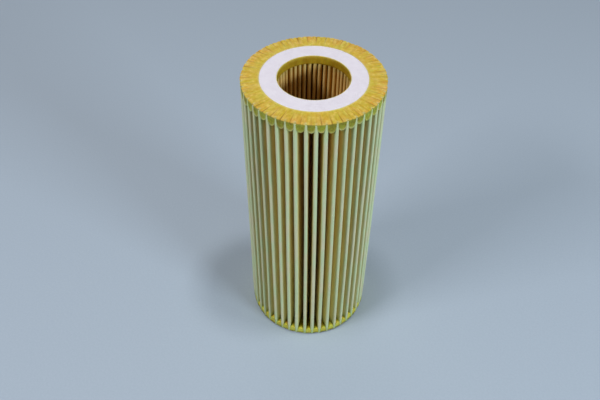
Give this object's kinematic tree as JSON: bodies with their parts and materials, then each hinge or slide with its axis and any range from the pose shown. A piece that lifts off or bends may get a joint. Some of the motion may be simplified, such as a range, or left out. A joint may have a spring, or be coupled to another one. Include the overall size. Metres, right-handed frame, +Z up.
{
  "type": "oil filter",
  "caption": "Cartridge oil filter element: a star of pleated filter paper around an open bore, with a cast adhesive end disc and a felt sealing ring at each end.",
  "frame": {"origin": "centre of the bottom end, on the face of the bottom felt ring, where the element stands", "axes": "+Z up along the bore, from the bottom end disc to the top one; +Y towards the back, half a pleat pitch from the glued seam"},
  "size_m": [0.064, 0.064, 0.1525],
  "materials": {
    "filter_paper": "matt resin-treated filter paper, pale green and cream",
    "seam_adhesive": "smooth hot-melt adhesive, pale amber",
    "end_adhesive": "satin cast adhesive, amber yellow, slightly see-through",
    "felt": "white non-woven felt"
  },
  "bodies": {
    "root": {"pleated_media": "filter_paper", "seam_bead": "seam_adhesive", "top_end_disc": "end_adhesive", "bottom_end_disc": "end_adhesive", "top_felt_ring": "felt", "bottom_felt_ring": "felt"}
  },
  "joints": []
}
